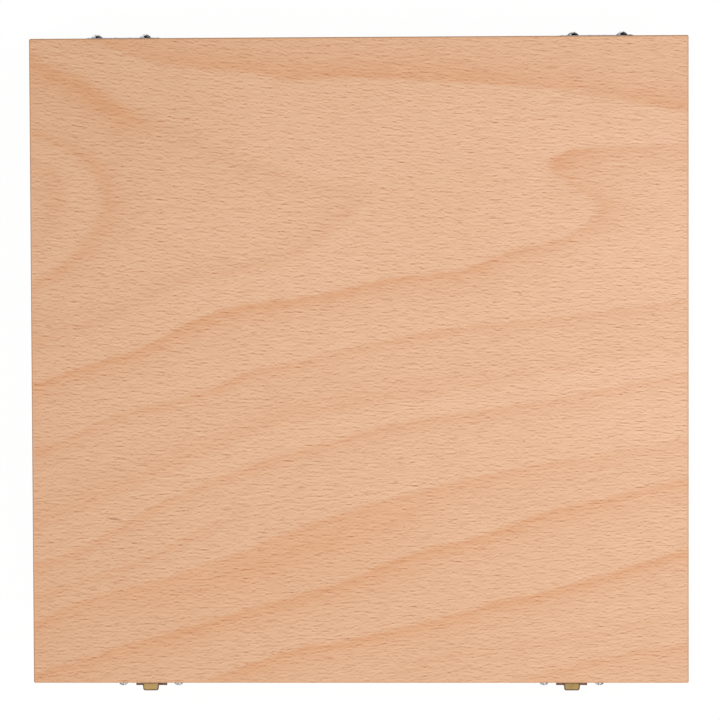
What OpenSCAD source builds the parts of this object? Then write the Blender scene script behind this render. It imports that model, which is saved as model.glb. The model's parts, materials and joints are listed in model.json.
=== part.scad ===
// Wooden paint box: a finger-jointed beech case with a hinged lid, two lever clasps,
// a pair of slotted lid stays and a lapped divider grid. Millimetres, +Z up.
// The origin is the centre of the underside. +X runs along the hinge line and +Y points to the hinges.

/* [Box] */
// Outside width, along the hinge line
box_w = 295; // [240:1:400]
// Outside depth, front to back
box_d = 290; // [240:1:400]
// Height of the lower half, underside to rim
base_h = 54; // [50:1:70]
// Height of the lid, rim to top face
lid_h = 22; // [21:0.5:40]
// Thickness of the solid side walls
wall_t = 8; // [7:0.5:10]
// Thickness of the veneered top and bottom panels
panel_t = 4; // [3:0.5:6]
// Gap between lid and base when the box is shut
seam_gap = 0.4; // [0.2:0.1:0.8]
// Radius of the eased outer edges
edge_r = 0.8; // [0.4:0.1:1.5]
// Bevel on the outer rim edges, either side of the seam
rim_bevel = 0.5; // [0.2:0.1:1]

/* [Joinery] */
// Layers in a corner joint of the lower half
base_fingers = 5; // [3:2:9]
// Layers in a corner joint of the lid
lid_fingers = 3; // [3:2:5]
// Glue gap between two wooden faces that mate
glue_gap = 0.05; // [0.02:0.01:0.1]
// Depth of the grooves that hold the dividers
groove_depth = 3; // [2:0.5:4]

/* [Dividers] */
// Thickness of the dividers
divider_t = 5; // [4:0.5:7]
// Height of the dividers
divider_h = 40; // [25:1:44]
// Clear width of the brush bay along the back wall
brush_bay_w = 52; // [48:1:80]
// Depth of the grooves in the brush divider
divider_groove = 2; // [1:0.5:2.5]

/* [Hinges] */
// Distance from the end of the box to the middle of a hinge
hinge_inset = 40; // [35:1:80]
// Length of a hinge along its pin
hinge_l = 32; // [28:1:45]
// Height of a leaf, measured from the pin
hinge_leaf_h = 12; // [12:0.5:17]
// Thickness of the leaf sheet
hinge_leaf_t = 0.8; // [0.7:0.1:1.2]
// Number of knuckles on a hinge
hinge_knuckles = 5; // [3:2:7]
// Diameter of the hinge pin
hinge_pin_d = 1.8; // [1.5:0.1:2.2]
// Distance of the pin behind the back face
hinge_axis_out = 0.1; // [0:0.1:1]
// Distance between the two screws in a leaf
hinge_screw_pitch = 22; // [18:1:24]
// Distance of the screws from the pin
hinge_screw_rise = 8.5; // [7.5:0.5:9.5]
// Thread diameter of the hinge screws
hinge_screw_d = 2.9; // [2:0.1:3]
// Head diameter of the hinge screws
hinge_head_d = 5.6; // [4.6:0.1:6]
// Head height of the hinge screws
hinge_head_h = 1.9; // [1.4:0.1:2.4]

/* [Clasps] */
// Distance from the end of the box to the middle of a clasp
clasp_inset = 52; // [30:1:90]
// Width of the strike and keeper plates
plate_w = 32; // [31:1:40]
// Height of the strike and keeper plates
plate_h = 13; // [12:0.5:16]
// Thickness of the plates
plate_t = 0.8; // [0.6:0.1:1.2]
// Distance from the middle of the seam to the edge of a plate
plate_rise = 1.5; // [1:0.1:3]
// Distance between the two screws in a plate
clasp_screw_pitch = 25; // [22:0.5:26]
// Distance of the screws from the middle of the seam
clasp_screw_rise = 10; // [8:0.5:11]
// Thread diameter of the clasp screws
clasp_screw_d = 2.5; // [1.8:0.1:2.8]
// Head diameter of the clasp screws
clasp_head_d = 5; // [4.2:0.1:5.2]
// Head height of the clasp screws
clasp_head_h = 2; // [1.4:0.1:2.4]
// Width of the lever
lever_w = 14; // [12:0.5:15]
// Thickness of the lever sheet
lever_t = 0.8; // [0.6:0.1:1]
// Running gap between the lever and the plates under it
lever_gap = 0.4; // [0.3:0.1:0.6]
// Distance of the lever pivot below the middle of the seam
pivot_drop = 11; // [10:0.5:12]
// Diameter of the lever pivot pin
pivot_pin_d = 1.4; // [1.2:0.1:1.8]
// Width of the lever's own knuckle
lever_knuckle_w = 6.4; // [5:0.2:7]
// Width of each ear that holds the pivot pin
ear_w = 3; // [2.4:0.2:3.4]
// Height of the lever's shoulders above the middle of the seam
lever_rise = 8.4; // [8:0.1:9]
// Radius of the rolled edge along the lever's shoulders
roll_r = 0.9; // [0.7:0.1:1]
// Width of the strike tongue that pokes through the lever
tongue_w = 8.8; // [7:0.2:9.4]
// Height of the strike tongue's underside above the middle of the seam
tongue_rise = 4; // [3.6:0.1:4.4]
// Thickness of the strike tongue
tongue_t = 1.8; // [1.4:0.1:2]
// Width of the finger tab on the lever
tab_w = 7.6; // [6:0.2:9]
// Radius in the inner corner where the finger tab turns outwards
tab_bend_r = 0.6; // [0.5:0.1:1]
// Height of the neck between the lever's shoulders and the finger tab's inner corner
tab_neck = 2.2; // [1.5:0.1:3]
// Length of the finger tab past its inner corner
tab_lip = 2.2; // [1.8:0.1:2.6]
// How far each side of the finger tab draws in towards its end
tab_taper = 0.3; // [0.1:0.1:0.6]
// Radius of the finger tab's corners
tab_corner_r = 1; // [0.6:0.1:1.4]

/* [Lid stays] */
// Angle at which the stays stop the lid
lid_open = 100; // [90:1:105]
// Width of a stay arm
stay_w = 7; // [6:0.5:8]
// Thickness of a stay arm
stay_t = 1.2; // [1:0.1:2]
// Shoulder diameter of the stay screws
stay_pin_d = 3; // [2.6:0.1:3.4]
// Distance of the stay screws above and below the middle of the seam
stay_rise = 6.5; // [6:0.5:8]
// Thickness of the washers behind the arms
washer_t = 1; // [0.6:0.1:1.6]
// Diameter of the washers and of the stay screws' heads
stay_head_d = 6; // [5:0.2:7]
// Height of the stay screws' heads
stay_head_h = 1.6; // [1.2:0.1:2]
// Clearance between a hanging arm and the bottom panel
stay_floor_gap = 3; // [2:0.5:6]

/* [Hidden] */
$fn = 64;

// Colours
beech = [0.88, 0.70, 0.55];
veneer = [0.89, 0.71, 0.57];
plywood = [0.86, 0.74, 0.58];
nickel = [0.78, 0.78, 0.80];
antique_brass = [0.62, 0.49, 0.28];
brass = [0.80, 0.65, 0.36];

// Sides: the left half of the box is at -X and the front at -Y
LEFT = -1;
RIGHT = 1;
FRONT = -1;
BACK = 1;
SIDES = [LEFT, RIGHT];

// Small clearances and allowances
cut = 1;               // overshoot of a cutter past the face that it cuts
run_gap = 0.05;        // radial gap between a pin and its bore
knuckle_gap = 0.2;     // gap between neighbouring knuckles, and round them
pilot_gap = 0.05;      // radial gap between a screw and its pilot hole
screw_cover = 1.5;     // wood left beyond the tip of a screw
groove_cover = 0.5;    // wood left between the tip of a clasp screw and a divider's groove
cove_gap = 0.4;        // gap between the hinge knuckles and the wood
tongue_gap = 0.35;     // gap between the strike tongue and the lever's window
slot_gap = 0.15;       // gap between a stay screw and the side of its slot
stay_play = 0.1;       // gap on each face of a stay arm
plate_corner_r = 2;    // corner radius of the plates, the leaves and the lever
pin_head_t = 0.7;      // thickness of the peened pin ends
recess_w = 0.7;        // width of a cross recess

// Heights
base_wall_h = base_h - panel_t;
lid_wall_h = lid_h - panel_t;
lid_z = base_h + seam_gap;
lid_panel_z = lid_z + lid_wall_h;
seam_z = base_h + seam_gap / 2;

// Inside of the case
inner_w = box_w - 2 * wall_t;
inner_d = box_d - 2 * wall_t;
divider_z = panel_t;
brush_divider_y = inner_d / 2 - brush_bay_w - divider_t / 2;
tube_back_y = brush_divider_y - divider_t / 2;
cross_divider_y = (tube_back_y - inner_d / 2) / 2;
tube_columns = 4;
tube_pitch = (inner_w + divider_t) / tube_columns;

// Hinges
hinge_x = box_w / 2 - hinge_inset;
hinge_axis_y = box_d / 2 + hinge_axis_out;
hinge_bore_r = hinge_pin_d / 2 + run_gap;
hinge_knuckle_r = hinge_bore_r + hinge_leaf_t;
hinge_knuckle_w = hinge_l / hinge_knuckles;
hinge_cove_l = hinge_l + 2 * (pin_head_t + 2 * knuckle_gap);
hinge_screw_l = hinge_leaf_t + wall_t - screw_cover;

// Clasps
clasp_x = box_w / 2 - clasp_inset;
clasp_screw_l = plate_t + wall_t - groove_depth - groove_cover;
lever_in = plate_t + lever_gap;
lever_out = lever_in + lever_t;
pivot_bore_r = pivot_pin_d / 2 + run_gap;
pivot_knuckle_r = pivot_bore_r + lever_t;
pivot_out = lever_in + pivot_knuckle_r;
ear_x = lever_knuckle_w / 2 + knuckle_gap + ear_w / 2;
pivot_pin_l = 2 * (ear_x + ear_w / 2 + knuckle_gap);
lever_foot = -pivot_drop + pivot_knuckle_r + lever_gap;
tongue_reach = lever_out + tongue_t / 2;
tab_top = lever_rise + tab_neck;

// Lid stays: both screws lie at one radius from the hinge pin, so the arm turns by half the lid's angle
stay_half_angle = lid_open / 2;
stay_tail = stay_w / 2;
stay_depth = base_wall_h + seam_gap / 2 - stay_floor_gap;
stay_shut = 2 * stay_rise;
stay_stretched = stay_depth + stay_rise - stay_tail;
stay_reach = (stay_stretched / 2 - stay_rise * cos(stay_half_angle)) / sin(stay_half_angle);
stay_y = hinge_axis_y - stay_reach;
stay_slot_r = stay_pin_d / 2 + slot_gap;
stay_arm_in = washer_t + stay_play;
stay_shoulder_l = washer_t + stay_t + 2 * stay_play;
stay_screw_d = stay_pin_d - 0.8;
stay_screw_l = wall_t - screw_cover;

// Places. Each of the next three turns the local axes to along the face, up it, and out of it.
module on_front(x) {
    translate([x, -box_d / 2, seam_z]) rotate([90, 0, 0]) children();
}

module on_back(x) {
    translate([x, box_d / 2, seam_z]) rotate([90, 0, 180]) children();
}

module on_inner_side(side) {
    mirror([side == RIGHT ? 1 : 0, 0, 0])
        translate([-inner_w / 2, stay_y, seam_z]) rotate([90, 0, 90]) children();
}

// General shapes
module rounded_rect(w, h, r) {
    square([w - 2 * r, h], center = true);
    square([w, h - 2 * r], center = true);
    for (x = [-1, 1], y = [-1, 1])
        translate([x * (w / 2 - r), y * (h / 2 - r)]) circle(r);
}

module bar_along_x(r, length) {
    rotate([0, 90, 0]) cylinder(r = r, h = length, center = true);
}

// Rounds a straight edge that runs along Z, on a solid that lies at -X and -Y of it
module edge_cutter(length, r) {
    difference() {
        translate([-r, -r, -length / 2]) cube([r + cut, r + cut, length]);
        translate([-r, -r, 0]) cylinder(r = r, h = length + cut, center = true);
    }
}

// Rounds the four upright corners of the case over its full height
module upright_edges() {
    full_h = lid_z + lid_h;
    for (x = SIDES, y = SIDES)
        translate([x * box_w / 2, y * box_d / 2, full_h / 2])
            scale_sign(x, y) edge_cutter(full_h + 2 * cut, edge_r);
}

module scale_sign(x, y) {
    mirror([x < 0 ? 1 : 0, 0, 0]) mirror([0, y < 0 ? 1 : 0, 0]) children();
}

// Rounds the four outer edges of a panel at height z, whose solid lies below (up = 1) or above (up = -1)
module flat_edges(z, up) {
    for (s = SIDES) {
        translate([0, s * box_d / 2, z]) mirror([0, 0, up < 0 ? 1 : 0]) mirror([0, s < 0 ? 1 : 0, 0])
            rotate([0, -90, 0]) edge_cutter(box_w + 2 * cut, edge_r);
        translate([s * box_w / 2, 0, z]) mirror([0, 0, up < 0 ? 1 : 0]) mirror([s < 0 ? 1 : 0, 0, 0])
            rotate([90, 0, 0]) edge_cutter(box_d + 2 * cut, edge_r);
    }
}

// Bevels the outer rim edges at height z
module rim_bevels(z) {
    bar = rim_bevel * sqrt(2);
    for (s = SIDES) {
        translate([0, s * box_d / 2, z]) rotate([45, 0, 0]) cube([box_w + 2 * cut, bar, bar], center = true);
        translate([s * box_w / 2, 0, z]) rotate([0, 45, 0]) cube([bar, box_d + 2 * cut, bar], center = true);
    }
}

// Round-headed wood screw with a cross recess. Its head stands on the plane z = 0 and points to +Z.
module wood_screw(d, length, head_d, head_h) {
    head_r = head_d / 2;
    dome_r = (head_r * head_r + head_h * head_h) / (2 * head_h);
    recess_l = head_d * 0.52;
    difference() {
        intersection() {
            translate([0, 0, head_h - dome_r]) sphere(dome_r);
            cylinder(r = head_r + cut, h = head_h + cut);
        }
        translate([0, 0, head_h]) {
            cube([recess_l, recess_w, head_h], center = true);
            cube([recess_w, recess_l, head_h], center = true);
        }
    }
    translate([0, 0, d - length]) cylinder(d = d, h = length - d);
    translate([0, 0, -length]) cylinder(d1 = d / 5, d2 = d, h = d);
}

// Hole in the wood behind a plate of thickness t that a screw of the given length passes through
module pilot_hole(d, length) {
    translate([0, 0, -length - run_gap]) cylinder(r = d / 2 + pilot_gap, h = length + cut);
}

// Screw places on a hinge leaf or a clasp plate
module screw_pair(pitch, rise, out) {
    for (x = [-pitch / 2, pitch / 2])
        translate([x, rise, out]) children();
}

module hinge_screw_places(side, half) {
    on_back(side * hinge_x)
        screw_pair(hinge_screw_pitch, half * hinge_screw_rise, hinge_leaf_t) children();
}

module clasp_screw_places(side, half) {
    on_front(side * clasp_x)
        screw_pair(clasp_screw_pitch, half * clasp_screw_rise, plate_t) children();
}

module hinge_pilots() {
    for (side = SIDES, half = [-1, 1])
        hinge_screw_places(side, half) pilot_hole(hinge_screw_d, hinge_screw_l);
}

module clasp_pilots() {
    for (side = SIDES, half = [-1, 1])
        clasp_screw_places(side, half) pilot_hole(clasp_screw_d, clasp_screw_l);
}

module stay_pilots() {
    for (side = SIDES, half = [-1, 1])
        on_inner_side(side) translate([0, half * stay_rise, 0]) pilot_hole(stay_screw_d, stay_screw_l);
}

module hinge_coves() {
    for (side = SIDES)
        translate([side * hinge_x, hinge_axis_y, seam_z])
            bar_along_x(hinge_knuckle_r + cove_gap, hinge_cove_l);
}

// Case walls
// Sockets of a corner joint, in every second layer from the given first layer on
module finger_sockets(z, h, fingers, first) {
    layer = h / fingers;
    socket = wall_t + glue_gap;
    for (i = [first : 2 : fingers - 1], x = SIDES, y = SIDES)
        translate([x * (box_w / 2 - socket / 2 + cut / 2), y * (box_d / 2 - socket / 2 + cut / 2),
                   z + (i + 0.5) * layer])
            cube([socket + cut, socket + cut, layer + glue_gap], center = true);
}

module long_wall(face, z, h, fingers) {
    difference() {
        translate([-box_w / 2, face * (box_d - wall_t) / 2 - wall_t / 2, z]) cube([box_w, wall_t, h]);
        finger_sockets(z, h, fingers, 1);
        upright_edges();
    }
}

module short_wall(side, z, h, fingers) {
    difference() {
        translate([side * (box_w - wall_t) / 2 - wall_t / 2, -box_d / 2, z]) cube([wall_t, box_d, h]);
        finger_sockets(z, h, fingers, 0);
        upright_edges();
    }
}

// Groove that houses the end of a divider, centred on x, y
module divider_groove_cut(size_x, size_y, x, y) {
    translate([x - size_x / 2, y - size_y / 2, divider_z - cut])
        cube([size_x, size_y, divider_h + glue_gap + cut]);
}

function tube_divider_x(i) = i * tube_pitch;

module base_front() {
    color(beech) difference() {
        long_wall(FRONT, panel_t, base_wall_h, base_fingers);
        rim_bevels(base_h);
        clasp_pilots();
        for (i = [-1 : 1])
            divider_groove_cut(divider_t + 2 * glue_gap, 2 * groove_depth, tube_divider_x(i), -inner_d / 2);
    }
}

module base_back() {
    color(beech) difference() {
        long_wall(BACK, panel_t, base_wall_h, base_fingers);
        rim_bevels(base_h);
        hinge_coves();
        hinge_pilots();
    }
}

module base_side(side) {
    color(beech) difference() {
        short_wall(side, panel_t, base_wall_h, base_fingers);
        rim_bevels(base_h);
        stay_pilots();
        for (y = [brush_divider_y, cross_divider_y])
            divider_groove_cut(2 * groove_depth, divider_t + 2 * glue_gap, side * inner_w / 2, y);
    }
}

module base_bottom() {
    color(plywood) difference() {
        translate([-box_w / 2, -box_d / 2, 0]) cube([box_w, box_d, panel_t]);
        upright_edges();
        flat_edges(0, -1);
    }
}

module lid_front() {
    color(beech) difference() {
        long_wall(FRONT, lid_z, lid_wall_h, lid_fingers);
        rim_bevels(lid_z);
        clasp_pilots();
    }
}

module lid_back() {
    color(beech) difference() {
        long_wall(BACK, lid_z, lid_wall_h, lid_fingers);
        rim_bevels(lid_z);
        hinge_coves();
        hinge_pilots();
    }
}

module lid_side(side) {
    color(beech) difference() {
        short_wall(side, lid_z, lid_wall_h, lid_fingers);
        rim_bevels(lid_z);
        stay_pilots();
    }
}

module lid_panel() {
    color(veneer) difference() {
        translate([-box_w / 2, -box_d / 2, lid_panel_z]) cube([box_w, box_d, panel_t]);
        upright_edges();
        flat_edges(lid_panel_z + panel_t, 1);
    }
}

// Dividers
cross_l = inner_w + 2 * (groove_depth - glue_gap);
tube_front_y = -inner_d / 2 - groove_depth + glue_gap;
tube_l = tube_back_y + divider_groove - glue_gap - tube_front_y;
lap_h = divider_h / 2 + glue_gap;
lap_w = divider_t + 2 * glue_gap;

module cross_board(y) {
    translate([-cross_l / 2, y - divider_t / 2, divider_z]) cube([cross_l, divider_t, divider_h]);
}

module brush_divider() {
    color(plywood) difference() {
        cross_board(brush_divider_y);
        for (i = [-1 : 1])
            divider_groove_cut(lap_w, 2 * divider_groove, tube_divider_x(i), tube_back_y);
    }
}

// Half-lapped from below
module cross_divider() {
    color(plywood) difference() {
        cross_board(cross_divider_y);
        for (i = [-1 : 1])
            translate([tube_divider_x(i) - lap_w / 2, cross_divider_y - divider_t, divider_z - cut])
                cube([lap_w, 2 * divider_t, lap_h + cut]);
    }
}

// Half-lapped from above
module tube_divider(i) {
    color(plywood) difference() {
        translate([tube_divider_x(i) - divider_t / 2, tube_front_y, divider_z])
            cube([divider_t, tube_l, divider_h]);
        translate([tube_divider_x(i) - divider_t, cross_divider_y - lap_w / 2, divider_z + divider_h - lap_h])
            cube([2 * divider_t, lap_w, lap_h + cut]);
    }
}

// Hinges
// Every second knuckle from the given first one on, fattened by a gap
module hinge_knuckle_row(first, gap) {
    for (i = [first : 2 : hinge_knuckles - 1])
        translate([(i - (hinge_knuckles - 1) / 2) * hinge_knuckle_w, 0, hinge_axis_out])
            bar_along_x(hinge_knuckle_r + gap, hinge_knuckle_w - knuckle_gap + 2 * gap);
}

// half is 1 for the leaf on the lid and -1 for the leaf on the base, which has the two end knuckles
module hinge_leaf(half) {
    own = half > 0 ? 1 : 0;
    color(nickel) difference() {
        union() {
            mirror([0, half > 0 ? 0 : 1, 0]) linear_extrude(hinge_leaf_t) leaf_outline();
            hinge_knuckle_row(own, 0);
        }
        hinge_knuckle_row(1 - own, knuckle_gap);
        translate([0, 0, hinge_axis_out]) bar_along_x(hinge_bore_r, hinge_l + 2 * cut);
        screw_pair(hinge_screw_pitch, half * hinge_screw_rise, -cut)
            cylinder(r = hinge_screw_d / 2 + pilot_gap, h = hinge_leaf_t + 2 * cut);
    }
}

// Leaf sheet with rounded outer corners, from the pin upwards
module leaf_outline() {
    leaf_l = hinge_l - knuckle_gap;
    translate([0, hinge_leaf_h / 2]) rounded_rect(leaf_l, hinge_leaf_h, plate_corner_r);
    translate([-leaf_l / 2, 0]) square([leaf_l, hinge_leaf_h / 2]);
}

module hinge_pin() {
    head_x = hinge_l / 2 + pin_head_t / 2;
    color(nickel) translate([0, 0, hinge_axis_out]) {
        bar_along_x(hinge_pin_d / 2, hinge_l + pin_head_t);
        for (s = SIDES)
            translate([s * head_x, 0, 0]) bar_along_x(hinge_knuckle_r - knuckle_gap, pin_head_t);
    }
}

module hinge_screws(half) {
    color(nickel) for (side = SIDES)
        hinge_screw_places(side, half) wood_screw(hinge_screw_d, hinge_screw_l, hinge_head_d, hinge_head_h);
}

// Clasps
module clasp_plate(half) {
    translate([0, half * (plate_rise + plate_h / 2), 0]) linear_extrude(plate_t)
        rounded_rect(plate_w, plate_h, plate_corner_r);
}

module clasp_screw_holes(half) {
    screw_pair(clasp_screw_pitch, half * clasp_screw_rise, -cut)
        cylinder(r = clasp_screw_d / 2 + pilot_gap, h = plate_t + 2 * cut);
}

// Section of the tongue, up the face and out of it, with its nose sloped so that the lever rides over it
module tongue_section() {
    nose = tongue_t / 2;
    polygon([
        [tongue_rise, 0], [tongue_rise, tongue_reach - nose], [tongue_rise + nose, tongue_reach],
        [tongue_rise + tongue_t, tongue_reach], [tongue_rise + tongue_t, 0]
    ]);
}

// Sweeps a section drawn up the face and out of it along X
module sweep_x(width) {
    translate([-width / 2, 0, 0]) rotate([90, 0, 90]) linear_extrude(width) children();
}

module clasp_strike() {
    color(antique_brass) difference() {
        union() {
            clasp_plate(1);
            sweep_x(tongue_w) tongue_section();
        }
        clasp_screw_holes(1);
    }
}

module clasp_keeper() {
    color(antique_brass) difference() {
        union() {
            clasp_plate(-1);
            for (s = SIDES)
                translate([s * ear_x, -pivot_drop, 0]) {
                    translate([-ear_w / 2, -pivot_knuckle_r, 0])
                        cube([ear_w, 2 * pivot_knuckle_r, pivot_out]);
                    translate([0, 0, pivot_out]) bar_along_x(pivot_knuckle_r, ear_w);
                }
        }
        translate([0, -pivot_drop, pivot_out]) bar_along_x(pivot_bore_r, 2 * plate_w);
        clasp_screw_holes(-1);
    }
}

// Flat of the lever: a foot between the ears, broad shoulders and a neck that carries the tab
module lever_outline() {
    body_h = lever_rise - lever_foot;
    difference() {
        union() {
            translate([-lever_knuckle_w / 2, -pivot_drop])
                square([lever_knuckle_w, lever_foot + pivot_drop + body_h / 2]);
            translate([0, lever_foot + body_h / 2]) rounded_rect(lever_w, body_h, plate_corner_r);
            translate([-tab_w / 2, lever_rise - body_h / 4])
                square([tab_w, tab_top - lever_rise + body_h / 4]);
        }
        translate([-tongue_w / 2 - tongue_gap, tongue_rise - tongue_gap])
            square([tongue_w + 2 * tongue_gap, tongue_t + 2 * tongue_gap]);
    }
}

// Flat of the finger tab: its sides draw in and its corners are round
module tab_outline() {
    length = lever_t + tab_bend_r + tab_lip;
    side_l = length - tab_corner_r;
    end_w = tab_w - 2 * tab_taper;
    polygon([[-tab_w / 2, 0], [tab_w / 2, 0], [end_w / 2, side_l], [-end_w / 2, side_l]]);
    translate([-end_w / 2 + tab_corner_r, 0]) square([end_w - 2 * tab_corner_r, length]);
    for (s = SIDES)
        translate([s * (end_w / 2 - tab_corner_r), side_l]) circle(tab_corner_r);
}

// Finger tab: a flat that stands out from the top of the neck, with a round in the corner under it
module finger_tab() {
    sweep_x(tab_w) difference() {
        translate([tab_top, lever_in]) square([tab_bend_r, lever_t + tab_bend_r]);
        translate([tab_top, lever_out + tab_bend_r]) circle(tab_bend_r);
    }
    translate([0, tab_top + tab_bend_r + lever_t, lever_in]) rotate([90, 0, 0]) linear_extrude(lever_t)
        tab_outline();
}

// Raised panel that stiffens the lower half of the lever
module lever_boss() {
    boss_h = tongue_rise - tongue_gap - lever_foot - 2 * plate_corner_r;
    translate([0, lever_foot + plate_corner_r + boss_h / 2, lever_in]) linear_extrude(1.5 * lever_t)
        rounded_rect(lever_w - 2 * plate_corner_r, boss_h, plate_corner_r);
}

module clasp_lever() {
    color(antique_brass) difference() {
        union() {
            translate([0, 0, lever_in]) linear_extrude(lever_t) lever_outline();
            lever_boss();
            translate([0, lever_rise - roll_r, lever_in + roll_r]) bar_along_x(roll_r, lever_w);
            finger_tab();
            translate([0, -pivot_drop, pivot_out]) bar_along_x(pivot_knuckle_r, lever_knuckle_w);
        }
        translate([0, -pivot_drop, pivot_out]) bar_along_x(pivot_bore_r, lever_knuckle_w + 2 * cut);
    }
}

module clasp_pin() {
    color(antique_brass) translate([0, -pivot_drop, pivot_out]) {
        bar_along_x(pivot_pin_d / 2, pivot_pin_l);
        for (s = SIDES)
            translate([s * (pivot_pin_l + pin_head_t) / 2, 0, 0])
                bar_along_x(pivot_knuckle_r - knuckle_gap, pin_head_t);
    }
}

module clasp_screws(half) {
    color(nickel) for (side = SIDES)
        clasp_screw_places(side, half) wood_screw(clasp_screw_d, clasp_screw_l, clasp_head_d, clasp_head_h);
}

// Lid stays
// Round-ended strip down the face from height top by the given length between its end centres
module strip(r, top, length) {
    translate([0, top]) circle(r);
    translate([0, top - length]) circle(r);
    translate([-r, top - length]) square([2 * r, length]);
}

module stay_arm() {
    color(brass) translate([0, 0, stay_arm_in]) linear_extrude(stay_t) difference() {
        strip(stay_w / 2, stay_rise, stay_stretched);
        strip(stay_slot_r, stay_rise - stay_shut, stay_stretched - stay_shut);
        translate([0, stay_rise]) circle(stay_pin_d / 2 + run_gap);
    }
}

// half is 1 for the pivot screws in the lid and -1 for the guide screws in the base
module stay_screws(half) {
    color(brass) for (side = SIDES)
        on_inner_side(side) translate([0, half * stay_rise, 0]) {
            cylinder(d = stay_pin_d, h = stay_shoulder_l);
            translate([0, 0, stay_shoulder_l]) wood_screw(stay_screw_d, stay_shoulder_l + stay_screw_l,
                                                          stay_head_d, stay_head_h);
        }
}

module stay_washers(half) {
    color(brass) for (side = SIDES)
        on_inner_side(side) translate([0, half * stay_rise, 0]) difference() {
            cylinder(d = stay_head_d, h = washer_t);
            translate([0, 0, -cut]) cylinder(r = stay_pin_d / 2 + run_gap, h = washer_t + 2 * cut);
        }
}

base_front();
base_back();
base_side(LEFT);  // base_left
base_side(RIGHT);  // base_right
base_bottom();
brush_divider();
cross_divider();
tube_divider(-1);  // tube_divider_left
tube_divider(0);  // tube_divider_middle
tube_divider(1);  // tube_divider_right
lid_front();
lid_back();
lid_side(LEFT);  // lid_left
lid_side(RIGHT);  // lid_right
lid_panel();
on_back(LEFT * hinge_x) hinge_leaf(-1);  // hinge_base_leaf_left
on_back(RIGHT * hinge_x) hinge_leaf(-1);  // hinge_base_leaf_right
on_back(LEFT * hinge_x) hinge_leaf(1);  // hinge_lid_leaf_left
on_back(RIGHT * hinge_x) hinge_leaf(1);  // hinge_lid_leaf_right
on_back(LEFT * hinge_x) hinge_pin();  // hinge_pin_left
on_back(RIGHT * hinge_x) hinge_pin();  // hinge_pin_right
hinge_screws(-1);  // hinge_base_screws
hinge_screws(1);  // hinge_lid_screws
on_front(LEFT * clasp_x) clasp_keeper();  // clasp_keeper_left
on_front(RIGHT * clasp_x) clasp_keeper();  // clasp_keeper_right
on_front(LEFT * clasp_x) clasp_strike();  // clasp_strike_left
on_front(RIGHT * clasp_x) clasp_strike();  // clasp_strike_right
on_front(LEFT * clasp_x) clasp_lever();  // clasp_lever_left
on_front(RIGHT * clasp_x) clasp_lever();  // clasp_lever_right
on_front(LEFT * clasp_x) clasp_pin();  // clasp_pin_left
on_front(RIGHT * clasp_x) clasp_pin();  // clasp_pin_right
clasp_screws(-1);  // clasp_base_screws
clasp_screws(1);  // clasp_lid_screws
on_inner_side(LEFT) stay_arm();  // stay_arm_left
on_inner_side(RIGHT) stay_arm();  // stay_arm_right
stay_screws(1);  // stay_pivot_screws
stay_screws(-1);  // stay_guide_screws
stay_washers(1);  // stay_pivot_washers
stay_washers(-1);  // stay_guide_washers
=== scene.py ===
import bpy
import json
import math
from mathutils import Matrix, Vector


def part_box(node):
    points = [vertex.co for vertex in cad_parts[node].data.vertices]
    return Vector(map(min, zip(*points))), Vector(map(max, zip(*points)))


# The looks of a wooden paint box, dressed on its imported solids. Places are metres in the box's own frame:
# the origin is the centre of the underside, +X runs along the hinge line, +Y points to the hinges, +Z is up.
# Lengths inside a material are millimetres.
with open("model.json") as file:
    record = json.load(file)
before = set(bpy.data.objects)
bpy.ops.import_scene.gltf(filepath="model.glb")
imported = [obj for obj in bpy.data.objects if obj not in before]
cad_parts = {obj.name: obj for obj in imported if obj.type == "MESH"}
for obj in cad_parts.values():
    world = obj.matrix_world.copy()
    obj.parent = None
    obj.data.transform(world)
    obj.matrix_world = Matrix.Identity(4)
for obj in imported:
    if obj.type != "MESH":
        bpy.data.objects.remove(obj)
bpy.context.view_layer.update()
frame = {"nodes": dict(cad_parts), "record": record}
nodes = frame["nodes"]
scene = bpy.context.scene

MM = 0.001
LID_LOW, LID_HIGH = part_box("lid_panel")
LID_W = (LID_HIGH.x - LID_LOW.x) / MM
LID_D = (LID_HIGH.y - LID_LOW.y) / MM
LID_TOP = LID_HIGH.z / MM
PANEL_T = (LID_HIGH.z - LID_LOW.z) / MM
LEVER_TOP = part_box("clasp_lever_left")[1].z / MM
DIVIDER_T = (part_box("cross_divider")[1].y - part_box("cross_divider")[0].y) / MM


def shown(red, green, blue):
    """Linear colour of a surface that shows as these 0 to 255 values in plain light."""
    def linear(value):
        part = value / 255
        return part / 12.92 if part <= 0.04045 else ((part + 0.055) / 1.055) ** 2.4
    return (linear(red), linear(green), linear(blue), 1.0)


# Node trees, written as arithmetic on fields

class Field:
    """A number, vector or colour that varies over a surface: a node's output, with the usual arithmetic."""

    def __init__(self, tree, socket):
        self.tree = tree
        self.socket = socket

    def calc(self, operation, *others, clamp=False):
        made = self.tree.tree.nodes.new("ShaderNodeMath")
        made.operation = operation
        made.use_clamp = clamp
        for slot, value in zip(made.inputs, (self, *others)):
            self.tree.feed(slot, value)
        return Field(self.tree, made.outputs[0])

    def __add__(self, other):
        return self.calc("ADD", other)

    def __sub__(self, other):
        return self.calc("SUBTRACT", other)

    def __rsub__(self, other):
        return self.calc("MULTIPLY_ADD", -1.0, other)

    def __mul__(self, other):
        return self.calc("MULTIPLY", other)

    def __abs__(self):
        return self.calc("ABSOLUTE")

    __radd__ = __add__
    __rmul__ = __mul__

    def clamped(self):
        return self.calc("ADD", 0.0, clamp=True)

    def step(self, low, high):
        """Rises smoothly from 0 at low to 1 at high, or falls if low is the greater."""
        made = self.tree.add("MapRange", {"interpolation_type": "SMOOTHSTEP"}, Value=self)
        ends = (low, high, 0.0, 1.0) if low < high else (high, low, 1.0, 0.0)
        for name, value in zip(("From Min", "From Max", "To Min", "To Max"), ends):
            made.inputs[name].default_value = value
        return Field(self.tree, made.outputs[0])


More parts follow.
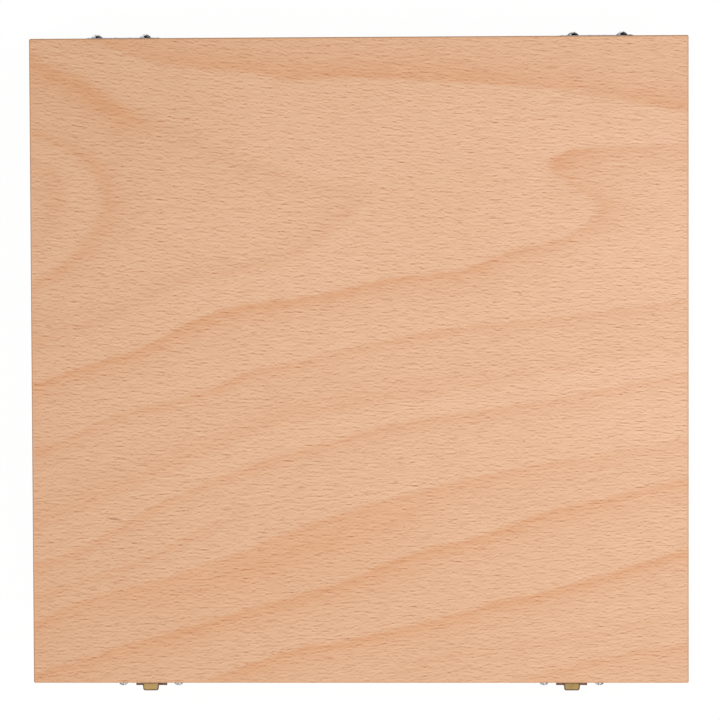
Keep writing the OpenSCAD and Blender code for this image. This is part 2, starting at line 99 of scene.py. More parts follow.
LATTICE_TURN = [math.radians(angle) for angle in (37, 23, 51)]


class Tree:
    """The node tree of a material or of the world."""

    def __init__(self, owner):
        owner.use_nodes = True
        self.owner = owner
        self.tree = owner.node_tree

    def feed(self, slot, value):
        if isinstance(value, Field):
            self.tree.links.new(value.socket, slot)
        else:
            slot.default_value = value

    def add(self, kind, settings=None, **inputs):
        made = self.tree.nodes.new("ShaderNode" + kind)
        for name, value in (settings or {}).items():
            setattr(made, name, value)
        for name, value in inputs.items():
            self.feed(made.inputs[name.replace("_", " ")], value)
        return made

    def split(self, kind, field):
        """The three parts of a vector (kind XYZ) or of a colour (kind Color)."""
        made = self.add("Separate" + kind)
        self.feed(made.inputs[0], field)
        return [Field(self, out) for out in made.outputs]

    def coordinate(self, output="Object"):
        """X, Y and Z fields of a texture coordinate: millimetres for Object, a unit vector for Normal."""
        size = 1.0 if output == "Normal" else 1.0 / MM
        vector = Field(self, self.add("TexCoord").outputs[output])
        return [part * size for part in self.split("XYZ", vector)]

    def vector(self, x, y, z=0.0):
        return Field(self, self.add("CombineXYZ", X=x, Y=y, Z=z).outputs[0])

    def noise(self, x, y, z=0.0, detail=2.0, roughness=0.5):
        """Noise from about -0.5 to 0.5, in cells of size 1. Its lattice is turned so that no rows show."""
        turned = self.add("VectorRotate", {"rotation_type": "EULER_XYZ"}, Vector=self.vector(x, y, z),
                          Rotation=LATTICE_TURN)
        made = self.add("TexNoise", Vector=Field(self, turned.outputs[0]), Scale=1.0, Detail=detail,
                        Roughness=roughness)
        return Field(self, made.outputs["Fac"]) - 0.5

    def streaks(self, along, across, length, width, seed=0.0, detail=2.0, roughness=0.5):
        """Noise drawn out along the grain."""
        return self.noise(along * (1.0 / length), across * (1.0 / width), seed, detail, roughness)

    def mix(self, factor, first, second, blend="MIX"):
        made = self.add("Mix", {"data_type": "RGBA", "blend_type": blend})
        for place, value in ((0, factor), (6, first), (7, second)):
            self.feed(made.inputs[place], value)
        return Field(self, made.outputs[2])

    def curve(self, field, low, high, points, bottom, top):
        """Smooth curve through given points.

        field runs from low to high, and the result from bottom to top.
        """
        made = self.add("FloatCurve", Value=(field - low) * (1.0 / (high - low)))
        line = made.mapping.curves[0]
        placed = sorted(((a - low) / (high - low), (b - bottom) / (top - bottom)) for a, b in points)
        while len(line.points) < len(placed):
            line.points.new(0.5, 0.5)
        for point, place in zip(line.points, placed):
            point.location = place
        made.mapping.use_clip = False
        made.mapping.extend = "HORIZONTAL"
        made.mapping.update()
        return Field(self, made.outputs[0]) * (top - bottom) + bottom

    def open_sky(self, distance, inside=False):
        """How clear a place is of other faces, from 0 in a corner to 1. inside looks into the solid."""
        made = self.add("AmbientOcclusion", {"samples": 4, "inside": inside}, Distance=distance)
        return Field(self, made.outputs["AO"])

    def seen(self):
        """1 for rays from the camera, a reflection or glass, and 0 for rays that light the scene."""
        path = self.add("LightPath")
        kinds = ("Is Camera Ray", "Is Glossy Ray", "Is Transmission Ray")
        camera_ray, glossy_ray, glass_ray = (Field(self, path.outputs[kind]) for kind in kinds)
        return (camera_ray + glossy_ray + glass_ray).clamped()

    def bump(self, height, distance, strength=1.0):
        made = self.add("Bump", Strength=strength, Distance=distance, Height=height)
        self.finish(Normal=Field(self, made.outputs[0]))

    def finish(self, **inputs):
        """Feeds the material's shader and returns the material."""
        for name, value in inputs.items():
            self.feed(self.tree.nodes["Principled BSDF"].inputs[name.replace("_", " ")], value)
        return self.owner


def material_tree(name):
    return Tree(bpy.data.materials.new(name))


# Colours of beech and plywood. The two of the grain multiply the wood's colour.

EARLY_PINK = shown(241, 189, 151)
EARLY_YELLOW = shown(234, 181, 140)
LATE = shown(226, 159, 109)
GRAIN_LIGHT = (1.07, 1.15, 1.19, 1.0)
GRAIN_DARK = (0.55, 0.23, 0.05, 1.0)
# The next two are painted shade for the lid's left and back edges, and a painted highlight along all its
# edges
ARRIS_SHADE = shown(158, 108, 74)
RIM_HIGHLIGHT = shown(238, 180, 134)
VENEER_MARK = shown(172, 120, 86)
END_GRAIN = shown(190, 140, 100)
END_PORES = shown(168, 118, 82)
END_LATE = shown(158, 106, 72)
PLY_PALE = shown(228, 196, 154)
PLY_BAND = shown(213, 172, 128)
PLY_DARK = shown(186, 139, 98)
PLY_ROUGH = shown(170, 128, 90)
GLUE_LINE = shown(150, 108, 74)

# Fine grain

CELL_L, CELL_W = 1.5, 2.7          # each dash has a cell of this many dash lengths and widths
DASH_RIM, DASH_CORE = 1.2, 0.2     # a dash darkens between these two distances, in half widths
BESIDE_SQUASH = 0.15               # the paler wood is wider than its dash by one over the root of this
BESIDE_SHARE = 0.35                # how pale it is, as a share of how dark the dash is


def flecks(tree, along, across, length, width, seed=0.0):
    """Short dark dashes: one per cell, of random strength, each with paler wood beside it."""
    cell_l = length * CELL_L
    cell_w = width * CELL_W
    u = along * (1.0 / cell_l) + seed
    v = across * (1.0 / cell_w) + seed
    cells = tree.add("TexVoronoi", {"voronoi_dimensions": "2D"}, Vector=tree.vector(u, v), Scale=1.0)
    middle = tree.split("XYZ", Field(tree, cells.outputs["Position"]))
    strength = tree.split("Color", Field(tree, cells.outputs["Color"]))[0]
    off_u = (u - middle[0]) * (2.0 * cell_l / length)
    off_v = (v - middle[1]) * (2.0 * cell_w / width)
    blunt = off_u * off_u
    blunt = blunt * blunt
    dash = (blunt + off_v * off_v).calc("SQRT").step(DASH_RIM, DASH_CORE)
    beside = (blunt + off_v * off_v * BESIDE_SQUASH).calc("SQRT").step(DASH_RIM, DASH_CORE)
    return (dash - beside * BESIDE_SHARE) * strength


# Length and width of each size of beech's dark dashes, in millimetres
DASHES = ((4.2, 0.95), (1.9, 0.85), (6.2, 0.9), (2.8, 1.0), (1.2, 0.9))
LAYER_SEED, FIBRE_SEED = 31.7, 13.0     # keep the random patterns of the dashes and the fibres apart
FIBRE_DARK, DASH_DARK, GRAIN_LEVEL = 0.48, 0.36, 0.155
FIBRE_RELIEF, GRAIN_DEPTH = 0.4, 0.002 * MM
LACQUER_ROUGH, GRAIN_ROUGH = 0.47, 0.1


def beech_grain(tree, along, across, wood, seed=0.0):
    """Draws fine fibres and dashes over a wood colour, and gives the surface their roughness and relief."""
    layers = [flecks(tree, along, across, *sizes, seed + LAYER_SEED * i) for i, sizes in enumerate(DASHES)]
    dashes = sum(layers)
    fibre = tree.streaks(along, across, length=7.0, width=0.5, seed=seed + FIBRE_SEED)
    dark = (fibre * FIBRE_DARK + dashes * DASH_DARK + GRAIN_LEVEL).clamped()
    tree.bump(fibre * FIBRE_RELIEF - dashes, GRAIN_DEPTH, strength=0.5)
    tree.finish(Roughness=LACQUER_ROUGH + dashes * GRAIN_ROUGH + fibre * GRAIN_ROUGH)
    return tree.mix(1.0, wood, tree.mix(dark, GRAIN_LIGHT, GRAIN_DARK), "MULTIPLY")


# Growth lines of the lid's veneer, given as points along each line. A point has its X and Y in
# millimetres from the lid's middle, then how strong the line is there. A line runs from left to right, or
# from the hinges to the clasps where "over" is y: then a point's Y comes first. One side rises over the edge
# length, and the other fades out over the fade length: down or right for a side of +1, up or left for -1.
GROWTH_LINES = [
    # Long line below the hinges, and the darker strip between it and the lid's edge
    {"over": "x", "edge": 2.2, "fade": 6.5, "side": -1, "points": [
        (-147, 150, 0.5), (-116, 143, 0.6), (-94, 135, 0.6), (-72, 131, 0.65), (-49, 130, 0.55),
        (-31, 125.5, 0.7), (-4, 127, 0.65), (41, 125, 0.65), (85, 121.5, 0.5), (108, 117.5, 0.5),
        (126, 114.5, 0.65), (147, 111.5, 0.6)]},
    {"over": "x", "edge": 3.0, "fade": 26.0, "side": -1, "points": [
        (-147, 150, 0.1), (-60, 131, 0.25), (0, 127, 0.32), (85, 122, 0.32), (147, 112, 0.25)]},
    # Upper and lower side of the large arch at the left
    {"over": "x", "edge": 6.0, "fade": 6.5, "side": 1, "points": [
        (-147, 137, 0.6), (-134, 130, 0.75), (-122, 124, 0.85), (-112, 118, 0.85), (-102, 112, 0.7),
        (-92, 108, 0.5), (-80, 103, 0.42), (-58, 93, 0.42), (-31, 83, 0.4), (-13, 78, 0.35), (2, 75, 0.15),
        (9, 73, 0.0)]},
    {"over": "x", "edge": 7.0, "fade": 9.0, "side": 1, "points": [
        (-147, 135, 0.3), (-134, 128, 0.45), (-120, 121, 0.55), (-110, 115, 0.5), (-100, 110, 0.25),
        (-85, 105, 0.0)]},
    {"over": "x", "edge": 3.0, "fade": 6.0, "side": -1, "points": [
        (-147, 5, 0.35), (-134, 11, 0.4), (-122, 15, 0.4), (-104, 22, 0.4), (-88, 31, 0.42), (-70, 37, 0.42),
        (-52, 40, 0.42), (-32, 46, 0.42), (-19, 54, 0.42), (-10, 61, 0.4), (-3, 66, 0.3), (5, 74, 0.0)]},
    # Small arch at the left, and its core
    {"over": "y", "edge": 5.0, "fade": 8.0, "side": 1, "points": [
        (107, -158, 0.5), (102, -147, 0.75), (96, -133, 0.75), (88, -121, 0.75), (76, -115, 0.75),
        (65, -116, 0.75), (53, -123, 0.75), (44, -133, 0.8), (37, -144, 0.8), (32, -158, 0.4)]},
    {"over": "y", "edge": 5.0, "fade": 16.0, "side": -1, "points": [
        (97, -156, 0.2), (88, -140, 0.4), (80, -133, 0.45), (69, -132, 0.45), (58, -137, 0.4),
        (47, -154, 0.2)]},
    # Main line, which turns into the arch at the right
    {"over": "x", "edge": 1.4, "fade": 6.5, "side": 1, "points": [
        (-147, -9, 0.9), (-116, 0.5, 0.85), (-94, 8, 0.9), (-72, 19.5, 1.0), (-49, 26, 1.0),
        (-27, 28.5, 0.9), (18, 37.5, 0.85), (54, 43, 0.9), (63, 47, 0.85), (74, 50.5, 0.75), (85, 53, 0.6),
        (98, 57, 0.25), (108, 62, 0.0)]},
    {"over": "y", "edge": 3.2, "fade": 13.0, "side": 1, "points": [
        (96, 150, 0.0), (94.5, 103, 0.35), (93, 92, 0.55), (90, 86, 0.65), (85, 88, 0.6), (77, 97, 0.5),
        (70, 106, 0.6), (66, 107, 0.65), (60, 101, 0.55), (54, 90, 0.25), (50, 80, 0.0)]},
    {"over": "x", "edge": 2.2, "fade": 10.0, "side": 1, "points": [
        (80, 88, 0.0), (88, 92, 0.35), (99, 94.5, 0.5), (117, 95.2, 0.45), (147, 96, 0.45)]},
    # Lines below the main line, from top to bottom
    {"over": "x", "edge": 1.8, "fade": 4.0, "side": 1, "points": [
        (-147, -39, 0.65), (-134, -35.5, 0.7), (-112, -25, 0.65), (-72, -14, 0.65), (-49, -4.5, 0.75),
        (-27, -0.7, 0.65), (-4, 5.6, 0.6), (36, 13.6, 0.65), (85, 19, 0.5), (147, 27, 0.5)]},
    {"over": "x", "edge": 4.0, "fade": 11.0, "side": -1, "points": [
        (-147, -77, 0.5), (-116, -63, 0.5), (-72, -43, 0.5), (-27, -26, 0.5), (18, -17.5, 0.45),
        (63, -9.5, 0.35), (108, -1, 0.25), (147, 5, 0.2)]},
    {"over": "x", "edge": 1.8, "fade": 4.5, "side": 1, "points": [
        (-147, -90, 0.65), (-134, -87.5, 0.65), (-103, -71, 0.65), (-85, -61.5, 0.65), (-49, -47, 0.7),
        (-4, -33.5, 0.7), (18, -28, 0.7), (85, -18, 0.6), (147, -5, 0.5)]},
    {"over": "x", "edge": 1.6, "fade": 3.5, "side": 1, "points": [
        (-147, -105, 0.4), (-112, -94, 0.55), (-94, -87, 0.55), (-78, -79, 0.6), (-58, -70, 0.3),
        (-27, -60, 0.0)]},
    {"over": "x", "edge": 1.8, "fade": 9.0, "side": 1, "points": [
        (-147, -117, 0.6), (-116, -104.5, 0.6), (-94, -99, 0.65), (-72, -92, 0.6), (-49, -84, 0.65),
        (-27, -75, 0.7), (-4, -67, 0.7), (18, -61, 0.65), (63, -50, 0.55), (108, -42, 0.45),
        (147, -35, 0.4)]},
    {"over": "x", "edge": 5.0, "fade": 14.0, "side": 1, "points": [
        (-110, -112, 0.0), (-72, -99, 0.35), (-49, -91, 0.5), (-27, -83, 0.5), (-4, -75, 0.45),
        (40, -62, 0.0)]},
    {"over": "x", "edge": 1.6, "fade": 6.0, "side": 1, "points": [
        (-147, -141, 0.75), (-116, -131, 0.75), (-72, -118, 0.8), (-27, -105, 0.85), (-4, -98, 0.85),
        (18, -88.5, 0.9), (50, -80, 0.9), (85, -68, 0.9), (116, -60.5, 0.75), (147, -53, 0.7)]},
    {"over": "x", "edge": 1.6, "fade": 5.5, "side": 1, "points": [
        (-80, -150, 0.75), (-45, -135, 0.85), (-27, -129.5, 0.9), (-4, -125.5, 0.9), (41, -114.5, 0.9),
        (63, -108, 0.9), (85, -103.5, 0.9), (108, -96.5, 0.9), (147, -84.5, 0.9)]},
    {"over": "x", "edge": 1.8, "fade": 4.5, "side": 1, "points": [
        (9, -142, 0.0), (41, -131, 0.25), (85, -125, 0.3), (147, -113, 0.3)]},
    {"over": "x", "edge": 1.8, "fade": 5.0, "side": 1, "points": [
        (60, -149, 0.45), (90, -138.5, 0.55), (108, -134, 0.55), (147, -128, 0.5)]},
]
LINE_REACH = 160.0   # the curves run from minus this to plus this, in millimetres


def growth(tree, x, y):
    """How much late wood shows at each place of the lid's veneer."""
    total = None
    for line in GROWTH_LINES:
        level, other = (x, y) if line["over"] == "x" else (y, x)
        places = [(at, off) for at, off, strong in line["points"]]
        strengths = [(at, strong) for at, off, strong in line["points"]]
        place = tree.curve(level, -LINE_REACH, LINE_REACH, places, -LINE_REACH, LINE_REACH)
        strength = tree.curve(level, -LINE_REACH, LINE_REACH, strengths, 0.0, 1.0)
        side = line["side"] * (1.0 if line["over"] == "y" else -1.0)
        past = (other - place) * side
        rise = past.step(-line["edge"], line["edge"])
        fade = (past.calc("MAXIMUM", 0.0) * (-1.0 / line["fade"])).calc("EXPONENT")
        band = rise * fade * strength
        total = band if total is None else total + band
    return total


SKIN_T, SKIN_BLEND = 0.7, 0.05   # the outer veneer, and how softly the plies below it start
FIBRE_TILT = 0.025      # how far the fibres fall per millimetre to the right, at the lid's middle
FIBRE_FAN = 0.00045     # how much more they fall per millimetre towards the hinges
FIBRE_BEND = 0.00006    # half of how much less they fall per millimetre to the right
RAGGED_REACH = 6.0      # how far the growth lines fray along the fibres
WANDER_REACH = 1.6      # how far they wave
BAND_SHARE, BAND_LEVEL = 1.3, 0.9   # how unevenly the fibres take up the late wood's colour
YELLOW_ACROSS = -0.6    # change in yellow over the lid's width, and over its depth in the front half
YELLOW_TONE, YELLOW_LEVEL = 1.1, 0.42
# A warm painted highlight line along all the lid's edges, and a dark painted shade line on the left and back
# edges, which face away from the light
RIM_HIGHLIGHT_W, RIM_HIGHLIGHT_SHARE = 1.5, 0.5
ARRIS_W, ARRIS_SHADE_SHARE = 0.6, 0.75
# A short dark mark in the veneer: its middle, half its length and width, its fall to the right, its strength
MARK_X, MARK_Y = -110.8, -70.8
MARK_L, MARK_W = 3.5, 0.42
MARK_TILT, MARK_SHARE = 0.09, 0.9
PLY_COUNT = 5


def lid_veneer():
    """Flat-sawn beech veneer with its arches and long growth lines, and the plies on the panel's edges.

    The sheet inside the lid shows the same figure, turned half round.
    """
    tree = material_tree("beech_veneer")
    x, y, z = tree.coordinate()
    normal_z = abs(tree.coordinate("Normal")[2])
    skin = z.step(LID_TOP - SKIN_T - SKIN_BLEND, LID_TOP - SKIN_T + SKIN_BLEND)
    rim = (abs(x) - LID_W / 2).calc("MAXIMUM", abs(y) - LID_D / 2)
    shade = (x * -1.0 - LID_W / 2).calc("MAXIMUM", y - LID_D / 2)
    x = x * (skin * 2.0 - 1.0)
    y = y * (skin * 2.0 - 1.0)
    fibre_y = y + x * (y * FIBRE_FAN + FIBRE_TILT) - x * x * FIBRE_BEND
    ragged = tree.streaks(x, fibre_y, length=9.0, width=1.3, seed=1.0, detail=3.0, roughness=0.6)
    wander = tree.streaks(x, y, length=30.0, width=18.0, seed=3.0)
    late = growth(tree, x + ragged * RAGGED_REACH, y + ragged * RAGGED_REACH + wander * WANDER_REACH)
    bands = tree.streaks(x, fibre_y, length=18.0, width=1.4, seed=7.0, detail=3.0, roughness=0.6)
    late = (late * (bands * BAND_SHARE + BAND_LEVEL)).clamped()
    tone = tree.streaks(x, y, length=90.0, width=50.0, seed=11.0)
    yellow = x * (YELLOW_ACROSS / LID_W) + (y * (YELLOW_ACROSS / LID_D)).calc("MAXIMUM", 0.0)
    yellow = yellow + tone * YELLOW_TONE + YELLOW_LEVEL
    early = tree.mix(yellow.clamped(), EARLY_PINK, EARLY_YELLOW)
    wood = beech_grain(tree, x, fibre_y, tree.mix(late, early, LATE))
    mark_u = (x - MARK_X) * (1.0 / MARK_L)
    mark_v = (y - MARK_Y + (x - MARK_X) * MARK_TILT) * (1.0 / MARK_W)
    mark = (mark_u * mark_u + mark_v * mark_v).calc("SQRT").step(1.3, 0.3) * skin
    wood = tree.mix(mark * MARK_SHARE, wood, VENEER_MARK)
    # painted highlight: a warm line along all the lid's edges
    wood = tree.mix(rim.step(-RIM_HIGHLIGHT_W, -ARRIS_W) * RIM_HIGHLIGHT_SHARE, wood, RIM_HIGHLIGHT)
    # painted shade on the left and back edges, which face away from the light
    wood = tree.mix(shade.step(-ARRIS_W, 0.0) * ARRIS_SHADE_SHARE, wood, ARRIS_SHADE)
    layer = (z - LID_LOW.z / MM) * (PLY_COUNT / PANEL_T)
    plies = tree.mix((layer * math.pi).calc("SINE").step(-0.15, 0.15), PLY_DARK, PLY_PALE)
    wood = tree.mix((normal_z.step(0.75, 0.35) * (1.0 - skin)).clamped(), wood, plies)
    return tree.finish(Base_Color=wood)


# Growth rings of the solid boards
RING_W = 11.0                         # from one ring to the next
RING_SIDE, RING_UP = 0.45, 0.9        # how the rings are counted through a board's thickness and its height
RUN_OUT = 0.035                       # how far they climb per millimetre along the board
WAVE_L, WAVE_W = 80.0, 30.0           # length and width of their slow waves, then how far these reach
WAVE_SIDE, WAVE_UP = 9.0, 26.0
RING_FRAY = 3.0                       # how far the fibres fray them
LATE_SHARE, END_LATE_SHARE = 0.7, 0.5
PORES_PER_MM = 2.2


def solid_beech(name, grain, seed):
    """Straight-grained solid beech. grain is the axis that the board runs along: x or y."""
    tree = material_tree(name)
    x, y, z = tree.coordinate()
    normal = tree.coordinate("Normal")
    along, side, facing = (x, y, normal[0]) if grain == "x" else (y, x, normal[1])
    across = z + (side - z) * abs(normal[2]).step(0.6, 0.8)
    wave = tree.noise(along * (1 / WAVE_L), side * (1 / WAVE_W), z * (1 / WAVE_W) + seed)
    ragged = tree.streaks(along, across, length=9.0, width=1.3, seed=seed, detail=3.0, roughness=0.6)
    ring = (side + wave * WAVE_SIDE) * RING_SIDE + (z + wave * WAVE_UP + along * RUN_OUT) * RING_UP
    ring = ((ring + ragged * RING_FRAY + seed) * (1 / RING_W)).calc("FRACT")
    late = ring.step(0.35, 0.97) * ring.step(1.0, 0.98)
    tone = tree.streaks(along, across, length=120.0, width=50.0, seed=seed)
    early = tree.mix(tone + 0.5, EARLY_PINK, EARLY_YELLOW)
    wood = beech_grain(tree, along, across, tree.mix(late * LATE_SHARE, early, LATE), seed)
    pores = tree.noise(side * PORES_PER_MM, z * PORES_PER_MM, seed)
    cut_end = tree.mix(pores.step(-0.15, 0.15), END_PORES, END_GRAIN)
    cut_end = tree.mix(late * END_LATE_SHARE, cut_end, END_LATE)
    wood = tree.mix(abs(facing).step(0.6, 0.9), wood, cut_end)
    return tree.finish(Base_Color=wood)


# Plywood's face and cut edges
PLY_WAVE = 14.0                       # how far the bands on a face wave
PLY_FIBRE_DARK, PLY_DASH_DARK, PLY_GRAIN_LEVEL = 0.4, 0.45, 0.25
PLY_FIBRE_RELIEF, PLY_DEPTH = 0.5, 0.04 * MM
PLY_SURFACE, PLY_SURFACE_CHANGE = 0.55, 0.14
TORN_PER_MM = 0.8                     # torn spots on the cut edges
TORN_CHANGE, TORN_LEVEL = 0.35, 0.18
GLUE_SHARE = 0.5


def plywood(name, thickness_axis, low, thickness, grain):
    """Pale plywood: quiet face grain, and plies of alternating grain on the cut edges."""
    tree = material_tree(name)
    place = dict(zip("xyz", tree.coordinate()))
    normal = dict(zip("xyz", tree.coordinate("Normal")))
    along = place[grain]
    across = place[[axis for axis in "xyz" if axis not in (grain, thickness_axis)][0]]
    wander = tree.streaks(along, across, length=70.0, width=26.0, seed=low)
    waved = across + wander * PLY_WAVE
    bands = tree.streaks(along, waved, length=40.0, width=3.0, seed=low, detail=4.0, roughness=0.6)
    face = tree.mix(bands.step(-0.2, 0.25), PLY_PALE, PLY_BAND)
    dashes = flecks(tree, along, across, length=4.0, width=0.4, seed=low * 0.37)
    fibre = tree.streaks(along, across, length=6.0, width=0.5, seed=low)
    dark = (fibre * PLY_FIBRE_DARK + dashes * PLY_DASH_DARK + PLY_GRAIN_LEVEL).clamped()
    face = tree.mix(1.0, face, tree.mix(dark, GRAIN_LIGHT, GRAIN_DARK), "MULTIPLY")
    layer = (place[thickness_axis] - low) * (PLY_COUNT / thickness)
    plies = tree.mix((layer * math.pi).calc("SINE").step(-0.12, 0.12), PLY_DARK, PLY_PALE)
    glue = abs((layer * math.pi).calc("SINE")).step(0.16, 0.02)
    torn = tree.noise(*(place[axis] * TORN_PER_MM for axis in "xyz"), detail=3.0)
    plies = tree.mix((torn * TORN_CHANGE + TORN_LEVEL).clamped(), plies, PLY_ROUGH)
    plies = tree.mix(glue * GLUE_SHARE, plies, GLUE_LINE)
    wood = tree.mix(abs(normal[thickness_axis]).step(0.75, 0.4), face, plies)
    tree.bump(fibre * PLY_FIBRE_RELIEF - dashes, PLY_DEPTH, strength=0.5)
    return tree.finish(Base_Color=wood, Roughness=PLY_SURFACE + fibre * PLY_SURFACE_CHANGE)


# Metals

CLOUD_PER_MM, CLOUD_SHARE = 0.35, 0.55
SCRATCH_PER_MM, SCRATCH_UP_PER_MM = 9.0, 0.9     # scratches are drawn out upwards
SCRATCH_DEPTH = 0.006 * MM
LIT_TOP_START, LIT_TOP_FULL = 1.6, 0.6                   # where the painted light starts and is full, below a lever's top
EDGE_SHADE_REACH, DIRT_SHADE_REACH = 0.75 * MM, 0.8 * MM    # reach of the painted edge shade, and of dirt and painted shade where faces meet
# a dark brown for dirt and painted shade where faces meet
DIRT_AND_SHADE = shown(70, 56, 40)


def plated(name, bright, dull, edge, low_rough, high_rough, dirt_and_shade, lit_top=None):
    """Plated metal with fine scratches, faint clouding, painted edge shade, and dirt and painted shade where
    faces meet.

    The last argument is the lighter colour painted on the tops of the clasp levers, as painted light.
    """
    tree = material_tree(name)
    x, y, z = tree.coordinate()
    cloud = tree.noise(*(axis * CLOUD_PER_MM for axis in (x, y, z)), detail=4.0, roughness=0.6)
    scratch = tree.noise(x * SCRATCH_PER_MM, y * SCRATCH_PER_MM, z * SCRATCH_UP_PER_MM,
                         detail=3.0, roughness=0.7)
    metal = tree.mix(cloud.step(-0.15, 0.25) * CLOUD_SHARE, bright, dull)
    if lit_top:
        # painted light: the levers' tops are drawn lighter than the rest, as lit
        lit_top_mask = z.step(LEVER_TOP - LIT_TOP_START, LEVER_TOP - LIT_TOP_FULL) * (cloud * 0.8 + 0.9)
        metal = tree.mix(lit_top_mask.clamped(), metal, lit_top)
    # painted shade along the edges, in the edge colour
    metal = tree.mix((1.0 - tree.open_sky(EDGE_SHADE_REACH, inside=True)).step(0.01, 0.15), metal, edge)
    # dirt and painted shade where faces meet, darkest where a place is most closed in
    metal = tree.mix(((1.0 - tree.open_sky(DIRT_SHADE_REACH)) * dirt_and_shade).clamped(), metal, DIRT_AND_SHADE)
    rough = (cloud * 0.5 + scratch * 0.5).step(-0.2, 0.2) * (high_rough - low_rough) + low_rough
    tree.bump(scratch, SCRATCH_DEPTH, strength=0.4)
    return tree.finish(Base_Color=metal, Metallic=1.0, Roughness=rough)


LID_VENEER = lid_veneer()
# Each metal's edge colour is painted shade for its edges
NICKEL = plated("nickel", bright=shown(240, 240, 244), dull=shown(222, 222, 228), edge=shown(170, 170, 176),
                low_rough=0.05, high_rough=0.14, dirt_and_shade=0.5)
ANTIQUE = {"bright": shown(118, 88, 70), "dull": shown(92, 66, 58), "edge": shown(84, 58, 52),
           "low_rough": 0.25, "high_rough": 0.42, "dirt_and_shade": 0.5}
ANTIQUE_BRASS = plated("antique_brass", **ANTIQUE)
# the clasp levers, with painted light on their tops
LIT_TOP_BRASS = plated("antique_brass_lit_top", **ANTIQUE, lit_top=shown(148, 124, 78))
SATIN_BRASS = plated("satin_brass", bright=shown(216, 184, 116), dull=shown(190, 154, 90),
                     edge=shown(150, 112, 60), low_rough=0.22, high_rough=0.36, dirt_and_shade=0.6)

# Edges: corners closer than the first are joined, faces flatter than the second are one face, and edges
# sharper than the third are eased
WELD_REACH = 0.001 * MM
FLAT_ANGLE = math.radians(0.5)
SHARP_ANGLE = math.radians(35)
EASE_STEPS = 2


def dress(name, material, ease):
    """Gives a CAD node its material, and eases its sharp edges by a small bevel."""
    piece = nodes[name]
    piece.data.materials.clear()
    piece.data.materials.append(material)
    weld = piece.modifiers.new("weld", "WELD")
    weld.merge_threshold = WELD_REACH
    flat = piece.modifiers.new("flat_faces", "DECIMATE")
    flat.decimate_type = "DISSOLVE"
    flat.angle_limit = FLAT_ANGLE
    bevel = piece.modifiers.new("ease", "BEVEL")
    bevel.width = ease
    bevel.segments = EASE_STEPS
    bevel.limit_method = "ANGLE"
    bevel.angle_limit = SHARP_ANGLE
    piece.modifiers.new("shading", "WEIGHTED_NORMAL")


WOOD_EASE = 0.15 * MM
METAL_EASE = 0.1 * MM
HALF_SEED, WALL_SEED = 13.7, 5.3     # so that no two boards look alike
GRAIN_OF_WALL = {"front": "x", "back": "x", "left": "y", "right": "y"}
for order, half in enumerate(("base", "lid")):
    for place, (wall, grain) in enumerate(GRAIN_OF_WALL.items()):
        board = solid_beech(f"beech_{half}_{wall}", grain, HALF_SEED * order + WALL_SEED * place)
        dress(f"{half}_{wall}", board, WOOD_EASE)
dress("lid_panel", LID_VENEER, WOOD_EASE)
dress("base_bottom", plywood("plywood_bottom", "z", 0.0, PANEL_T, "x"), WOOD_EASE)
for name in ("brush_divider", "cross_divider"):
    dress(name, plywood(f"plywood_{name}", "y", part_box(name)[0].y / MM, DIVIDER_T, "x"), WOOD_EASE)
for name in ("left", "middle", "right"):
    node = f"tube_divider_{name}"
    dress(node, plywood(f"plywood_{node}", "x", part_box(node)[0].x / MM, DIVIDER_T, "y"), WOOD_EASE)
METAL_OF_SLOT = {"nickel": NICKEL, "antique_brass": ANTIQUE_BRASS, "brass": SATIN_BRASS}
for part in frame["record"]["subparts"]:
    if part["node"].startswith("clasp_lever"):
        dress(part["node"], LIT_TOP_BRASS, METAL_EASE)
    elif part["material_slot"] in METAL_OF_SLOT:
        dress(part["node"], METAL_OF_SLOT[part["material_slot"]], METAL_EASE)


# Stage

GLOW = 1.02


def pale(name, colour, share):
    """A surface that shows mostly as plain white, in metal too, and still takes some shadow."""
    tree = material_tree(name)
    tree.finish(Base_Color=colour, Roughness=0.9)
    glow = tree.add("Emission", Color=(1.0, 1.0, 1.0, 1.0), Strength=GLOW)
    both = tree.add("MixShader")
    tree.feed(both.inputs[0], tree.seen() * share)
    tree.feed(both.inputs[1], Field(tree, tree.tree.nodes["Principled BSDF"].outputs[0]))
    tree.feed(both.inputs[2], Field(tree, glow.outputs[0]))
    tree.feed(tree.tree.nodes["Material Output"].inputs["Surface"], Field(tree, both.outputs[0]))
    return tree.owner


FLOOR_SIZE = 8.0
bpy.ops.mesh.primitive_plane_add(size=FLOOR_SIZE)
floor = bpy.context.object
floor.name = "floor"
floor.data.materials.append(pale("floor_white", shown(252, 252, 252), share=0.95))

BLACK_FELT = material_tree("black_felt").finish(Base_Color=shown(14, 14, 17), Roughness=1.0)
GREY_FELT = material_tree("grey_felt").finish(Base_Color=shown(120, 120, 126), Roughness=1.0)


def dark_card(name, corners, faces, felt=BLACK_FELT):
    """A dark card beside the box, seen only in reflections, as a studio sets one beside chrome."""
    mesh = bpy.data.meshes.new(name)
    mesh.from_pydata(corners, [], faces)
    card = bpy.data.objects.new(name, mesh)
    scene.collection.objects.link(card)
    card.visible_camera = False
    card.visible_diffuse = False
    card.visible_shadow = False
    card.data.materials.append(felt)


CARD_RADIUS = 1.6
CARD_STEPS = 36


def curved_card(name, first, last, height):
    """A card that curves round the box from one angle to another, in degrees from +X."""
    angles = [math.radians(first + (last - first) * i / CARD_STEPS) for i in range(CARD_STEPS + 1)]
    low = [(CARD_RADIUS * math.cos(a), CARD_RADIUS * math.sin(a), 0.0) for a in angles]
    high = [(px, py, height) for px, py, pz in low]
    count = len(angles)
    dark_card(name, low + high, [(i, i + 1, count + i + 1, count + i) for i in range(CARD_STEPS)])


curved_card("low_card", first=-60, last=110, height=0.45)
curved_card("tall_card", first=-40, last=110, height=2.4)
curved_card("front_card", first=-106, last=-95, height=1.8)
CARD_NEAR = 0.15
CARD_LIFT = 0.001


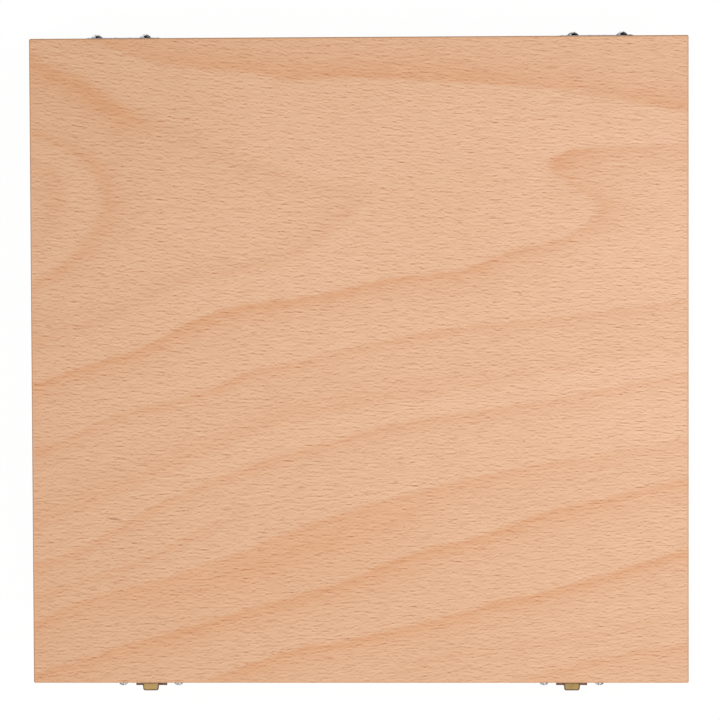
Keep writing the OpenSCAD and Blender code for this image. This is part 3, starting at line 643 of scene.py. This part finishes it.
def floor_card(name, left, right, low, high):
    """A grey card on the floor, from one X to another and from one Y to another."""
    corners = [(x, y, CARD_LIFT) for x, y in ((left, low), (right, low), (right, high), (left, high))]
    dark_card(name, corners, [(0, 1, 2, 3)], GREY_FELT)


floor_card("back_middle", left=-0.09, right=0.05, low=CARD_NEAR, high=CARD_RADIUS)
floor_card("back_right", left=0.126, right=CARD_RADIUS, low=CARD_NEAR, high=CARD_RADIUS)
floor_card("front_left", left=-CARD_RADIUS, right=-0.14, low=-CARD_RADIUS, high=-CARD_NEAR)
floor_card("front_middle", left=-0.04, right=0.05, low=-CARD_RADIUS, high=-CARD_NEAR)
floor_card("front_right", left=0.15, right=CARD_RADIUS, low=-CARD_RADIUS, high=-CARD_NEAR)

WORLD_LIGHT = 0.40
studio = Tree(bpy.data.worlds.new("studio"))
scene.world = studio.owner
sky = studio.tree.nodes["Background"]
sky.inputs["Color"].default_value = (1.0, 1.0, 1.0, 1.0)
studio.feed(sky.inputs["Strength"], studio.seen() * (1.0 - WORLD_LIGHT) + WORLD_LIGHT)


def softbox(name, place, aim, width, height, power):
    """A large soft lamp that faces the aim point."""
    lamp = bpy.data.lights.new(name, "AREA")
    lamp.shape = "RECTANGLE"
    lamp.size = width
    lamp.size_y = height
    lamp.energy = power
    made = bpy.data.objects.new(name, lamp)
    scene.collection.objects.link(made)
    made.location = place
    direction = Vector(aim) - Vector(place)
    made.rotation_euler = direction.to_track_quat("-Z", "Y").to_euler()


LID_MIDDLE = (0.02, 0.0, LID_HIGH.z)
softbox("key", place=(0.28, 0.02, 0.80), aim=LID_MIDDLE, width=0.25, height=0.5, power=2.1)
softbox("fill", place=(-0.30, -0.13, 0.90), aim=LID_MIDDLE, width=0.25, height=0.5, power=1.07)
softbox("front", place=(0.15, -0.75, 0.75), aim=LID_MIDDLE, width=0.6, height=0.4, power=0.92)

# Camera, above the lid with a slight lean in degrees, as the photograph was taken
CAMERA_PLACE = (0.0416, 0.0516, 1.4756)
CAMERA_LEAN = (-2.097, 1.677, -0.23)
LENS = 156.17
SENSOR = 36.0
camera_data = bpy.data.cameras.new("camera")
camera_data.lens = LENS
camera_data.sensor_width = SENSOR
camera_data.sensor_fit = "HORIZONTAL"
camera = bpy.data.objects.new("camera", camera_data)
camera.location = CAMERA_PLACE
camera.rotation_euler = [math.radians(angle) for angle in CAMERA_LEAN]
scene.collection.objects.link(camera)
scene.camera = camera

scene.view_settings.view_transform = "Standard"
